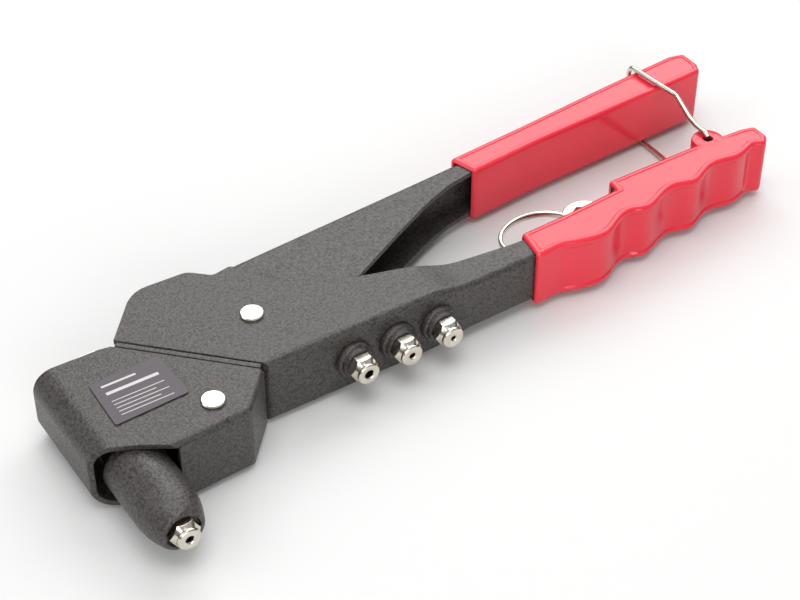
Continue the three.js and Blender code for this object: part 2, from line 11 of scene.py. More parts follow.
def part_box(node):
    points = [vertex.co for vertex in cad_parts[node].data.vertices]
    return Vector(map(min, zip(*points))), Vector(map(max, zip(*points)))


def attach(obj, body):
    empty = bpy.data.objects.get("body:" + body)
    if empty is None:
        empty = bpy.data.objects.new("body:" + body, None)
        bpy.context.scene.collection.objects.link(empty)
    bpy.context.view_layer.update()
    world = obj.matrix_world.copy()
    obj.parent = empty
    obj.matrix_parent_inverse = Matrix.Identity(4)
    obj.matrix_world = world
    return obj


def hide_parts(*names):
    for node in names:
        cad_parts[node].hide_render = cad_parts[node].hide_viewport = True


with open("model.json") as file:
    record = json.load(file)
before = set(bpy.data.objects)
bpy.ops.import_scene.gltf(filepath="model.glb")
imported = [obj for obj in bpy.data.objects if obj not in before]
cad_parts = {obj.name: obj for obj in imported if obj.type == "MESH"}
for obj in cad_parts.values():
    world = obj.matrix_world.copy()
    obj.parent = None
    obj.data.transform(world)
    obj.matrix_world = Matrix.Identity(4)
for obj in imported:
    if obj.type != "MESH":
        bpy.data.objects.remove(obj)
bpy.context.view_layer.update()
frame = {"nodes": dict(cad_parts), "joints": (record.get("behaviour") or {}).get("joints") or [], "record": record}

MM = 0.001
NODES = frame["nodes"]
JOINTS = {joint["name"]: joint for joint in frame["joints"]}
PIVOT = Vector(JOINTS["handle_pivot"]["pos_m"])
MID_Z = PIVOT.z
HUB_HALF = 12.5 * MM          # half the width of the hub and of the head
ARM_HALF = 10.0 * MM          # half the width of both handle channels
GRIP_HALF = 11.25 * MM        # half the width over the vinyl
TURN_STEPS = 96               # facets round a turned piece
TINY = 0.01 * MM              # two places closer than this are the same place
PIVOT_ON_DATUM = Vector((-0.8, -1.2))    # the main pivot on the drawing datum, mm


# ------------------------------------------------------------------ mesh helpers

def link(name, mesh):
    """Put a mesh or a curve into the scene as an object."""
    piece = bpy.data.objects.new(name, mesh)
    bpy.context.scene.collection.objects.link(piece)
    return piece


def finish_mesh(bm, name):
    """Make an object of a bmesh, with its faces turned outwards."""
    bmesh.ops.recalc_face_normals(bm, faces=bm.faces)
    mesh = bpy.data.meshes.new(name)
    bm.to_mesh(mesh)
    bm.free()
    return link(name, mesh)


def node_mesh(node):
    """A CAD node's faces as clean polygons: vertices merged and flat areas dissolved."""
    bm = bmesh.new()
    bm.from_mesh(NODES[node].data)
    bmesh.ops.remove_doubles(bm, verts=bm.verts, dist=0.002 * MM)
    bmesh.ops.dissolve_limit(bm, angle_limit=radians(0.5), verts=bm.verts, edges=bm.edges)
    bmesh.ops.recalc_face_normals(bm, faces=bm.faces)
    return bm


def applied(piece):
    """Turn a piece's modifiers into plain mesh."""
    graph = bpy.context.evaluated_depsgraph_get()
    made = bpy.data.meshes.new_from_object(piece.evaluated_get(graph))
    piece.modifiers.clear()
    piece.data = made
    return piece


def settle(piece, smooth_angle=32):
    """Apply the modifiers, then shade smooth between hard edges with flat areas kept flat."""
    applied(piece)
    piece.data.shade_smooth()
    piece.data.set_sharp_from_angle(angle=radians(smooth_angle))
    normals = piece.modifiers.new("normals", "WEIGHTED_NORMAL")
    normals.keep_sharp = True
    return applied(piece)


def bevel_edges(piece, width, segments=2, angle=32, weighted=False):
    """Round the edges that turn by more than the angle, or only those that carry a bevel weight."""
    bevel = piece.modifiers.new("bevel", "BEVEL")
    bevel.limit_method = "WEIGHT" if weighted else "ANGLE"
    bevel.angle_limit = radians(angle)
    bevel.width = width
    bevel.segments = segments
    bevel.use_clamp_overlap = False
    bevel.loop_slide = False
    return applied(piece)


def boolean(piece, operation, *tools):
    """Combine a piece with each tool in turn, and remove the tools."""
    for tool in tools:
        modifier = piece.modifiers.new(operation.lower(), "BOOLEAN")
        modifier.operation = operation
        modifier.solver = "EXACT"
        modifier.object = tool
        applied(piece)
        bpy.data.objects.remove(tool)
    return piece


def prism(name, points, low, high):
    """A closed outline in X and Y raised from one height to another."""
    bm = bmesh.new()
    floor = [bm.verts.new((p.x, p.y, low)) for p in points]
    roof = [bm.verts.new((p.x, p.y, high)) for p in points]
    bm.faces.new(floor)
    bm.faces.new(roof)
    for k in range(len(points)):
        following = (k + 1) % len(points)
        bm.faces.new((floor[k], floor[following], roof[following], roof[k]))
    return finish_mesh(bm, name)


def datum(x, y):
    """A point in mm on the drawing datum, from which the main pivot is offset, in the frame's metres."""
    return Vector((PIVOT.x + (x - PIVOT_ON_DATUM.x) * MM, PIVOT.y + (y - PIVOT_ON_DATUM.y) * MM))


def disc(centre, radius, steps=48):
    """The outline of a round hole or boss."""
    angles = [2 * pi * k / steps for k in range(steps)]
    return [centre + Vector((cos(a), sin(a))) * radius for a in angles]


def filleted(points, radius, steps=4):
    """An open outline with each inner corner replaced by an arc-like curve over `radius` each side."""
    smooth = [Vector(points[0])]
    for before, corner, after in zip(points, points[1:], points[2:]):
        before, corner, after = Vector(before), Vector(corner), Vector(after)
        reach_in = min(radius, (before - corner).length * 0.49)
        reach_out = min(radius, (after - corner).length * 0.49)
        start = corner + (before - corner).normalized() * reach_in
        end = corner + (after - corner).normalized() * reach_out
        for k in range(steps + 1):
            t = k / steps
            smooth.append(start * (1 - t) ** 2 + corner * 2 * t * (1 - t) + end * t ** 2)
    smooth.append(Vector(points[-1]))
    return smooth


def turned(name, profile, place, closed=False, segments=TURN_STEPS):
    """Turn (radius, height) points in mm about local Z and put the result at `place`."""
    bm = bmesh.new()
    rings = []
    for radius, height in profile:
        steps = segments if radius > 1e-6 else 1
        angles = [2 * pi * k / segments for k in range(steps)]
        spots = [(radius * MM * cos(a), radius * MM * sin(a), height * MM) for a in angles]
        rings.append([bm.verts.new(spot) for spot in spots])
    pairs = list(zip(rings, rings[1:]))
    if closed:
        pairs.append((rings[-1], rings[0]))
    for low, high in pairs:
        for k in range(segments):
            following = (k + 1) % segments
            below = [low[k % len(low)], low[following % len(low)]]
            above = [high[following % len(high)], high[k % len(high)]]
            distinct = list(dict.fromkeys(below + above))
            if len(distinct) > 2:
                bm.faces.new(distinct)
    bm.transform(place)
    return finish_mesh(bm, name)


def axis_matrix(origin, towards):
    """Local Z along `towards`, at `origin`."""
    turn = Vector((0, 0, 1)).rotation_difference(Vector(towards)).to_matrix().to_4x4()
    return Matrix.Translation(origin) @ turn


def wire(name, points, radius, bends):
    """A round wire through `points`, with each bend rounded over its own length."""
    route = [points[0]]
    for before, corner, after, bend in zip(points, points[1:], points[2:], bends):
        start = corner + (before - corner).normalized() * bend
        end = corner + (after - corner).normalized() * bend
        for k in range(9):
            t = k / 8
            route.append(start * (1 - t) ** 2 + corner * 2 * t * (1 - t) + end * t ** 2)
    route.append(points[-1])
    curve = bpy.data.curves.new(name, "CURVE")
    curve.dimensions = "3D"
    curve.bevel_depth = radius
    curve.bevel_resolution = 6
    curve.use_fill_caps = True
    spline = curve.splines.new("POLY")
    spline.points.add(len(route) - 1)
    for point, place in zip(spline.points, route):
        point.co = (*place, 1)
    bent = link(name + "_curve", curve)
    graph = bpy.context.evaluated_depsgraph_get()
    mesh = bpy.data.meshes.new_from_object(bent.evaluated_get(graph))
    bpy.data.objects.remove(bent)
    mesh.shade_smooth()
    mesh.set_sharp_from_angle(angle=radians(50))
    return link(name, mesh)


# ------------------------------------------------------------------ materials

class Recipe:
    """A Principled material with a few shorthand ways to add procedural detail in object space."""

    def __init__(self, name, **inputs):
        self.material = bpy.data.materials.new(name)
        self.material.use_nodes = True
        self.tree = self.material.node_tree
        self.shader = self.tree.nodes["Principled BSDF"]
        self.place = self.tree.nodes.new("ShaderNodeTexCoord").outputs["Object"]
        for socket, value in inputs.items():
            self.shader.inputs[socket.replace("_", " ")].default_value = value

    def node(self, kind, **settings):
        """A new node with its settings."""
        made = self.tree.nodes.new(kind)
        for key, value in settings.items():
            setattr(made, key, value)
        return made

    def join(self, source, target):
        """Link an output to an input."""
        self.tree.links.new(source, target)

    def stretched(self, scale):
        """Object coordinates scaled along each axis."""
        mapping = self.node("ShaderNodeMapping")
        mapping.inputs["Scale"].default_value = scale
        self.join(self.place, mapping.inputs["Vector"])
        return mapping.outputs["Vector"]

    def noise(self, scale, detail=3.0, roughness=0.5, vector=None):
        """Fractal noise."""
        made = self.node("ShaderNodeTexNoise")
        made.inputs["Scale"].default_value = scale
        made.inputs["Detail"].default_value = detail
        made.inputs["Roughness"].default_value = roughness
        self.join(vector or self.place, made.inputs["Vector"])
        return made.outputs["Fac"]

    def cells(self, scale, smoothness=0.6):
        """Distance to the middle of rounded cells."""
        made = self.node("ShaderNodeTexVoronoi", feature="SMOOTH_F1")
        made.inputs["Scale"].default_value = scale
        made.inputs["Smoothness"].default_value = smoothness
        self.join(self.place, made.inputs["Vector"])
        return made.outputs["Distance"]

    def ramp(self, source, *stops):
        """A colour ramp through (position, colour) stops."""
        made = self.node("ShaderNodeValToRGB")
        elements = made.color_ramp.elements
        while len(elements) < len(stops):
            elements.new(0.5)
        for element, (position, colour) in zip(elements, stops):
            element.position = position
            element.color = (*colour, 1) if len(colour) == 3 else colour
        self.join(source, made.inputs["Fac"])
        return made.outputs["Color"]

    def levels(self, source, low, high, from_low=0.0, from_high=1.0):
        """Map one range of a value to another."""
        made = self.node("ShaderNodeMapRange")
        made.inputs["From Min"].default_value = from_low
        made.inputs["From Max"].default_value = from_high
        made.inputs["To Min"].default_value = low
        made.inputs["To Max"].default_value = high
        self.join(source, made.inputs["Value"])
        return made.outputs["Result"]

    def maths(self, operation, a, b):
        """One operation on two values, each a number or a socket."""
        made = self.node("ShaderNodeMath", operation=operation)
        for socket, value in zip(made.inputs, (a, b)):
            if isinstance(value, (int, float)):
                socket.default_value = value
            else:
                self.join(value, socket)
        return made.outputs[0]

    def bump(self, height, depth, strength=1.0):
        """Raise the surface by a height, over any bump it already has."""
        made = self.node("ShaderNodeBump")
        made.inputs["Distance"].default_value = depth
        made.inputs["Strength"].default_value = strength
        self.join(height, made.inputs["Height"])
        earlier = self.shader.inputs["Normal"].links
        if earlier:
            self.join(earlier[0].from_socket, made.inputs["Normal"])
        self.join(made.outputs["Normal"], self.shader.inputs["Normal"])

    def drive(self, socket, source):
        """Let a value set one of the shader's inputs."""
        self.join(source, self.shader.inputs[socket])


def wrinkle_coat():
    """Black wrinkle powder coat: fine leathery grain, glossy on its peaks, with painted shade darkening the
    valleys between the wrinkles.
    """
    coat = Recipe("wrinkle_coat", Metallic=0.0, IOR=1.55)
    patches = coat.noise(90, detail=3, roughness=0.6)
    grain = coat.noise(1450, detail=4, roughness=0.68)
    pebbles = coat.cells(1100, smoothness=0.5)
    cracks = coat.levels(pebbles, 1.0, 0.0, 0.3, 0.9)
    height = coat.maths("ADD", grain, coat.maths("MULTIPLY", cracks, 0.55))
    # Colour: the random grain tone, plus painted shade that darkens the low borders between the raised cells,
    # following the bump's height.
    grain_tone_and_crack_shade = coat.maths("ADD", coat.maths("MULTIPLY", grain, 0.8), coat.maths("MULTIPLY", cracks, 0.2))
    coat.drive("Base Color", coat.ramp(grain_tone_and_crack_shade, (0.38, (0.007, 0.006, 0.0055)), (0.68, (0.072, 0.062, 0.057))))
    coat.drive("Roughness", coat.levels(grain, 0.5, 0.28, 0.35, 0.65))
    coat.bump(height, 0.12 * MM, 1.0)
    coat.bump(patches, 0.15 * MM, 0.4)
    return coat.material


def dipped_vinyl():
    """Thick red vinyl, satin gloss, with faint flow marks and a slightly translucent edge."""
    vinyl = Recipe("dipped_vinyl", IOR=1.52, Subsurface_Weight=0.06, Subsurface_Scale=0.002)
    vinyl.shader.inputs["Subsurface Radius"].default_value = (1.0, 0.25, 0.2)
    flow = vinyl.noise(28, detail=2, roughness=0.4)
    peel = vinyl.noise(420, detail=2, roughness=0.45)
    vinyl.drive("Base Color", vinyl.ramp(flow, (0.3, (0.7, 0.022, 0.045)), (0.7, (0.76, 0.03, 0.055))))
    vinyl.drive("Roughness", vinyl.levels(vinyl.noise(90, detail=3), 0.09, 0.17, 0.3, 0.7))
    vinyl.bump(flow, 0.2 * MM, 0.16)
    vinyl.bump(peel, 0.008 * MM, 0.3)
    return vinyl.material


def bright_nickel():
    """Nickel plate with a warm tint, light scuffs and a slightly uneven polish."""
    nickel = Recipe("bright_nickel", Metallic=1.0, Roughness=0.17)
    cloud = nickel.noise(260, detail=3, roughness=0.5)
    scuffs = nickel.noise(1.0, detail=4, roughness=0.6, vector=nickel.stretched((2600, 240, 240)))
    nickel.drive("Base Color", nickel.ramp(cloud, (0.3, (0.6, 0.55, 0.47)), (0.7, (0.74, 0.7, 0.62))))
    nickel.drive("Roughness", nickel.levels(scuffs, 0.12, 0.26, 0.3, 0.7))
    nickel.bump(cloud, 0.02 * MM, 0.5)
    nickel.bump(scuffs, 0.004 * MM, 0.6)
    return nickel.material


def machined_steel():
    """Oiled machined steel with turning marks."""
    steel = Recipe("machined_steel", Metallic=1.0, Roughness=0.36)
    marks = steel.noise(1.0, detail=4, roughness=0.6, vector=steel.stretched((300, 3000, 300)))
    steel.drive("Base Color", steel.ramp(marks, (0.3, (0.2, 0.2, 0.205)), (0.7, (0.36, 0.36, 0.365))))
    steel.drive("Roughness", steel.levels(marks, 0.28, 0.48, 0.3, 0.7))
    steel.bump(marks, 0.01 * MM, 0.6)
    return steel.material


def foil_label():
    """Plain grey metallic foil with generic rules across it and no lettering."""
    low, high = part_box("label_plate")
    foil = Recipe("foil_label", Metallic=0.15)
    split = foil.node("ShaderNodeSeparateXYZ")
    foil.join(foil.place, split.inputs["Vector"])
    across = foil.levels(split.outputs["X"], 0, 1, low.x, high.x)
    up = foil.levels(split.outputs["Y"], 0, 1, low.y, high.y)

    def between(value, start, end):
        """One where the value lies between start and end, and nought elsewhere."""
        above = foil.maths("GREATER_THAN", value, start)
        return foil.maths("MULTIPLY", above, foil.maths("LESS_THAN", value, end))

    bars = [(0.14, 0.6, 0.8, 0.84), (0.14, 0.84, 0.62, 0.68)]
    bars += [(0.14, 0.84 - 0.14 * (k % 2), 0.46 - 0.08 * k, 0.475 - 0.08 * k) for k in range(5)]
    marks = 0.0
    for left, right, bottom, top in bars:
        bar = foil.maths("MULTIPLY", between(across, left, right), between(up, bottom, top))
        marks = foil.maths("MAXIMUM", bar, marks)
    brushed = foil.noise(1.0, detail=4, roughness=0.6, vector=foil.stretched((160, 2400, 160)))
    ground = foil.ramp(brushed, (0.3, (0.06, 0.05, 0.057)), (0.7, (0.095, 0.08, 0.09)))
    mix = foil.node("ShaderNodeMix", data_type="RGBA")
    mix.inputs["B"].default_value = (0.62, 0.6, 0.6, 1)
    foil.join(foil.maths("MULTIPLY", marks, 0.8), mix.inputs["Factor"])
    foil.join(ground, mix.inputs["A"])
    foil.drive("Base Color", mix.outputs["Result"])
    foil.drive("Roughness", foil.levels(brushed, 0.42, 0.55, 0.3, 0.7))
    foil.bump(brushed, 0.008 * MM, 0.5)
    return foil.material


def floor_paper():
    """Plain pale paper with a faint tooth."""
    paper = Recipe("floor_paper", Base_Color=(0.68, 0.68, 0.677, 1), Roughness=0.85)
    paper.bump(paper.noise(900, detail=3), 0.05 * MM, 0.2)
    return paper.material


COAT = wrinkle_coat()
VINYL = dipped_vinyl()
NICKEL = bright_nickel()
STEEL = machined_steel()
LABEL = foil_label()
SLOTS = {"coat": COAT, "vinyl": VINYL, "nickel": NICKEL, "steel": STEEL, "label": LABEL}


def dress(piece, slot):
    """Give a piece the material of one of the record's slots."""
    piece.data.materials.clear()
    piece.data.materials.append(SLOTS[slot])


def stand_for(piece, node, body, slot):
    """Give a detailed piece its material and its body, and hide the CAD node that it stands for."""
    dress(piece, slot)
    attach(piece, body)
    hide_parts(node)
    return piece


# ------------------------------------------------------------------ pressed steel

SHEET_BREAK = 0.35 * MM       # rounding of a sheet's cut edges
FOLD = 2.2                    # outer radius of the pressed folds, mm
WIDE = HUB_HALF / MM
NARROW = ARM_HALF / MM


def interpolated(points, x):
    """The height at x of a chain of (x, y) points."""
    for (x0, y0), (x1, y1) in zip(points, points[1:]):
        if x <= x1:
            return y0 + (y1 - y0) * (x - x0) / (x1 - x0)
    return points[-1][1]


def fold_envelope(name, stations, radius):
    """A solid that rounds a folded channel's two long outer edges and is clear of everything else.

    Each station is the web's outer point, the direction inwards and half the channel's width there, in mm.
    """
    reach, clear, steps = 80.0, 0.02, 6
    quarter = [pi / 2 * k / steps for k in range(steps + 1)]
    bm = bmesh.new()
    rings = []
    for outer, inward, half in stations:
        half = half + clear
        near = [(radius * (1 - sin(a)), half - radius * (1 - cos(a))) for a in quarter]
        section = [(reach, half), *near]
        section += [(inset, -z) for inset, z in reversed(section)]
        points = [(outer + inward * (inset - clear), z) for inset, z in section]
        rings.append([bm.verts.new((*datum(*at), MID_Z + z * MM)) for at, z in points])
    for ring, following in zip(rings, rings[1:]):
        for k in range(len(ring)):
            j = (k + 1) % len(ring)
            bm.faces.new((ring[k], ring[j], following[j], following[k]))
    bm.faces.new(rings[0])
    bm.faces.new(rings[-1])
    bmesh.ops.triangulate(bm, faces=bm.faces)
    return finish_mesh(bm, name)


def channel_stations(web, widths, inward):
    """Stations of a channel whose web runs along X, at every bend of its web and of its width."""
    places = sorted({x for x, _ in web} | {x for x, _ in widths})
    return [
        (Vector((x, interpolated(web, x))), Vector((0, inward)), interpolated(widths, x)) for x in places
    ]


def pressed(node, name, envelope):
    """A pressed-steel piece with its folds rounded and its sheet edges broken."""
    piece = boolean(finish_mesh(node_mesh(node), name), "INTERSECT", envelope)
    bevel_edges(piece, SHEET_BREAK)
    return settle(piece)


def fixed_channel():
    """The hub and the fixed handle, one channel that narrows from hub to handle."""
    web = [(-60, -24.9), (67, -24.8), (95, -24), (110, -22.9), (230, -9.2)]
    joggle = [(-60, WIDE), (56.5, WIDE), (68, NARROW), (230, NARROW)]
    widths = [(p.x, p.y) for p in filleted(joggle, 4)]
    envelope = fold_envelope("channel_folds", channel_stations(web, widths, 1), FOLD)
    piece = pressed("body_channel", "hub_and_arm", envelope)
    return stand_for(piece, "body_channel", "fixed_body", "coat")


def moving_channel():
    """The moving handle, a channel of even width."""
    web = [(-40, 23.9), (-0.5, 26.8), (97, 33.9), (135, 37.2), (175, 41.2), (208, 43.9), (230, 45.7)]
    widths = [(-40, NARROW), (230, NARROW)]
    envelope = fold_envelope("handle_folds", channel_stations(web, widths, -1), FOLD)
    piece = pressed("handle_channel", "upper_handle", envelope)
    return stand_for(piece, "handle_channel", "moving_handle", "coat")


def head_casing():
    """The shell of the head, folded along two runs that meet in a mitre."""
    corners = [Vector((-10.4, -26.1)), Vector((-22.5, -39.8)), Vector((-48.4, -41))]
    runs = [(b - a).normalized() for a, b in zip(corners, corners[1:])]
    inwards = [Vector((run.y, -run.x)) for run in runs]
    mitre = (inwards[0] + inwards[1]) / (1 + inwards[0].dot(inwards[1]))
    stations = [
        (corners[0] - runs[0] * 20, inwards[0], WIDE),
        (corners[1], mitre, WIDE),
        (corners[2] + runs[1] * 40, inwards[1], WIDE),
    ]
    piece = pressed("head_shell", "head_casing", fold_envelope("head_folds", stations, FOLD))
    return stand_for(piece, "head_shell", "head", "coat")


# ------------------------------------------------------------------ vinyl grips

SOFT = 1.5 * MM               # rounding of the dipped vinyl
BEAD = 2.1 * MM               # width of the bead along a grip's edges
SUNK = 0.5 * MM               # how far the strip between the two beads is sunk
SUNK_WALL = SUNK * 1.4        # width of the slope down to that strip
SIDE_SUNK = 0.25 * MM         # how far a grip's flat sides are sunk inside their border
SIDE_WALL = SIDE_SUNK * 1.6   # width of the slope down to a sunk side
CLEAR = 0.3 * MM              # between the steel and the vinyl's cavity


def spline(points, steps=8):
    """A uniform Catmull-Rom curve through the points."""
    padded = [points[0], *points, points[-1]]
    route = []
    for before, start, end, after in zip(padded, padded[1:], padded[2:], padded[3:]):
        leave, arrive = (end - before) / 2, (after - start) / 2
        for k in range(steps):
            t = k / steps
            route.append(
                start * (2 * t ** 3 - 3 * t ** 2 + 1) + leave * (t ** 3 - 2 * t ** 2 + t)
                + end * (3 * t ** 2 - 2 * t ** 3) + arrive * (t ** 3 - t ** 2)
            )
    route.append(points[-1])
    return route


def at_height(vertex, height):
    """Whether a vertex lies at a height above the mid-plane."""
    return abs(vertex.co.z - MID_Z - height) < TINY


def outline_key(point):
    """What two points of an outline share when they lie at the same X and Y."""
    return round(point.x, 6), round(point.y, 6)


def sink_sides(piece):
    """Sink both flat sides of a grip inside a raised border."""
    bm = bmesh.new()
    bm.from_mesh(piece.data)
    for side in (1, -1):
        flats = [f for f in bm.faces if all(at_height(v, side * GRIP_HALF) for v in f.verts)]
        bmesh.ops.inset_region(bm, faces=flats, thickness=BEAD, use_even_offset=True)
        bmesh.ops.inset_region(
            bm, faces=flats, thickness=SIDE_WALL, depth=-SIDE_SUNK, use_even_offset=True,
        )
    bm.to_mesh(piece.data)
    bm.free()


def sink_strip(piece, finger_side, inwards):
    """Sink the finger side between two beads, along the given stretch of the outline."""
    bm = bmesh.new()
    bm.from_mesh(piece.data)
    along = {outline_key(point) for point in finger_side}
    for height in (GRIP_HALF - BEAD, GRIP_HALF - BEAD - SUNK_WALL):
        for side in (height, -height):
            faces = [f for f in bm.faces if all(outline_key(v.co) in along for v in f.verts)]
            geometry = set(faces)
            for face in faces:
                geometry.update(face.edges)
                geometry.update(face.verts)
            bmesh.ops.bisect_plane(
                bm, geom=list(geometry), plane_co=(0, 0, MID_Z + side), plane_no=(0, 0, 1),
            )
    between_ends = along - {outline_key(finger_side[0]), outline_key(finger_side[-1])}
    inner = GRIP_HALF - BEAD - SUNK
    for vertex in bm.verts:
        if outline_key(vertex.co) in between_ends and abs(vertex.co.z - MID_Z) < inner:
            vertex.co += Vector((*inwards, 0)) * SUNK
    bmesh.ops.recalc_face_normals(bm, faces=bm.faces)
    bm.to_mesh(piece.data)
    bm.free()


def sleeve(name, finger_side, rest, inwards):
    """A vinyl sleeve with rounded edges, before its cavity is cut."""
    piece = prism(name, finger_side + rest, MID_Z - GRIP_HALF, MID_Z + GRIP_HALF)
    sink_sides(piece)
    sink_strip(piece, finger_side, inwards)
    bm = bmesh.new()
    bm.from_mesh(piece.data)
    layer = bm.edges.layers.float.new("bevel_weight_edge")
    for edge in bm.edges:
        turn = edge.calc_face_angle(0)
        corner = lies_along_z(edge) and turn > radians(30)
        rim = turn > radians(60) and all(abs(abs(v.co.z - MID_Z) - GRIP_HALF) < TINY for v in edge.verts)
        edge[layer] = 1.0 if corner or rim else 0.0
    bm.to_mesh(piece.data)
    bm.free()
    return bevel_edges(piece, SOFT, 5, weighted=True)


def lies_along_z(edge):
    """Whether an edge runs up the piece."""
    return abs((edge.verts[0].co - edge.verts[1].co).normalized().z) > 0.9


def cavity(points):
    """The room inside a sleeve for the handle that it is dipped on."""
    return prism("cavity", points, MID_Z - ARM_HALF - CLEAR, MID_Z + ARM_HALF + CLEAR)


def lower_sleeve():
    """The fixed handle's sleeve, with finger grooves, a slot for the wrench and two ears for the latch."""
    crests_and_valleys = [
        (106, -25), (122, -28.5), (135.5, -22.8), (145, -24.5), (158, -19.7), (168, -21.5), (179, -17.2),
        (190, -18.3), (199, -15.6),
    ]
    finger_side = spline([datum(*p) for p in crests_and_valleys])
    rest = [
        (203.5, -17.6), (207, -14), (206.8, -7), (201, -5.6), (178, -4.6), (141.2, -4.9), (140.6, -10),
        (116.4, -11.8), (98, -12.5), (95.8, -25.8),
    ]
    piece = sleeve("lower_vinyl_grip", finger_side, [datum(*p) for p in rest], Vector((-0.1, 0.99)))
    ear = datum(187.3, -4.2)
    outer, inner = GRIP_HALF / MM, 6.9
    rounded = [(0, inner), (6, inner), (6, outer - 1.2), (5.65, outer - 0.35), (4.8, outer), (0, outer)]
    for side in (1, -1):
        place = axis_matrix(Vector((*ear, MID_Z)), (0, 0, side))
        boolean(piece, "UNION", turned("ear", rounded, place, segments=48))
    arm = [
        (85, -24.6), (95, -24.3), (110, -23.2), (200.3, -12.9), (201.8, -7.9), (181, -6.4), (141.3, -6.7),
        (138.3, -11.7), (116, -13.6), (85, -13.6),
    ]
    slot = [datum(90, -18), datum(140.6, -18), datum(140.6, 2), datum(90, 2)]
    plate = ARM_HALF - 2 * MM
    tools = [
        cavity([datum(*p) for p in arm]),
        prism("slot", slot, MID_Z - plate, MID_Z + plate),
    ]
    for side in (1, -1):
        low, high = sorted((MID_Z + side * (plate - CLEAR), MID_Z + side * (ARM_HALF + CLEAR)))
        tools.append(prism("ear_slot", disc(ear, 4.9 * MM), low, high))
        low, high = sorted((MID_Z + side * 5 * MM, MID_Z + side * 20 * MM))
        tools.append(prism("ear_hole", disc(ear, 1.9 * MM), low, high))
    boolean(piece, "DIFFERENCE", *tools)
    return stand_for(settle(piece), "lower_grip", "fixed_body", "vinyl")


def upper_sleeve():
    """The moving handle's plain sleeve."""
    near = [(135, 28), (173, 29.9), (207, 31.5)]
    far = [
        (213.4, 32.1), (215.3, 36.2), (215.3, 44.6), (209, 46.1), (174.6, 43.2), (135, 39.2), (101.4, 36.3),
        (104.8, 25.2),
    ]
    piece = sleeve("upper_vinyl_grip", [datum(*p) for p in near], [datum(*p) for p in far], Vector((0, 0)))
    handle = [
        (90, 25.1), (104.8, 26.6), (135, 29.4), (173, 31.3), (207.3, 32.9), (208.3, 44.2), (175, 41.5),
        (135, 37.5), (97, 34.2), (90, 33.6),
    ]
    boolean(piece, "DIFFERENCE", cavity([datum(*p) for p in handle]))
    return stand_for(settle(piece), "upper_grip", "moving_handle", "vinyl")


# ------------------------------------------------------------------ turned and bright pieces

def rivet(node, name, body):
    """A rivet through both plates, with a low crowned head on each side."""
    low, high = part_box(node)
    centre = (low + high) / 2
    radius = (high.x - low.x) / 2 / MM
    top = (high.z - centre.z) / MM
    under = HUB_HALF / MM + 0.02
    half = [(2.8, 0), (2.8, under), (radius - 0.1, under), (radius, under + 0.25), (radius, top - 0.45)]
    crown = [(radius - 0.35, top - 0.1), (radius - 1.0, top), (1.6, top - 0.03), (0, top - 0.06)]
    upper = half + crown
    lower = [(r, -h) for r, h in reversed(upper)]
    piece = turned(name, lower + upper[1:], Matrix.Translation(centre))
    return stand_for(settle(piece, 28), node, body, "nickel")


def barrel():
    """The nose barrel: a round sleeve that closes in to the nosepiece's seat."""
    low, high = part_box("head_barrel")
    centre = (low + high) / 2
    long = (high.y - low.y) / MM
    outside = [(10.2, 0), (10.2, long - 11.5), (9.5, long - 6), (7.7, long - 0.9), (6.9, long), (5.9, long)]
    inside = [(5.9, long - 1.6), (3.8, long - 1.6), (3.8, long - 4.8), (7.6, long - 6.5), (7.6, 0)]
    soft = [(p.x, p.y) for p in filleted(outside, 2.2, 6)]
    place = axis_matrix(Vector((centre.x, high.y, centre.z)), (0, -1, 0))
    piece = turned("nose_barrel", soft + inside, place, closed=True)
    return stand_for(settle(piece, 40), "head_barrel", "head", "coat")


def bush(node):
    """A stepped bush that a stored nosepiece screws into."""
    low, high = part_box(node)
    centre = (low + high) / 2
    section = [
        (3.7, 0), (5, 0), (5, 4.5), (6.7, 4.5), (6.7, 5.6), (6.3, 6.2), (5.75, 6.4), (5.6, 7.7), (5.2, 8.1),
        (3.7, 8.1),
    ]
    place = axis_matrix(Vector((centre.x, high.y, centre.z)), (0, -1, 0))
    piece = turned(node + "_ring", section, place, closed=True)
    return stand_for(settle(piece, 40), node, "fixed_body", "coat")


def nosepiece(node, bore):
    """Hexagon with its corners turned back to a neck, and a round coned tip with the mandrel hole."""
    low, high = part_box(node)
    centre = (low + high) / 2
    seat, tip = 4.4, (high.y - low.y) / MM
    stem = [(bore, 0), (3.4, 0), (3.4, seat + 0.1)]
    hexagon = [(5.3, seat + 0.1), (5.3, seat + 2.5), (3.55, seat + 4.2)]
    front = [(3.95, seat + 4.5), (3.95, tip - 0.4), (3.6, tip), (bore + 0.35, tip), (bore, tip - 0.35)]
    place = axis_matrix(Vector((centre.x, high.y, centre.z)), (0, -1, 0))
    piece = turned(node + "_body", stem + hexagon + front, place, closed=True)
    column = [(0, -1), (5.2, -1), (5.2, tip + 1), (0, tip + 1)]
    boolean(piece, "INTERSECT", turned("hexagon", column, place, segments=6))
    bevel_edges(piece, 0.09 * MM, angle=35)
    return stand_for(settle(piece, 30), node, node, "nickel")


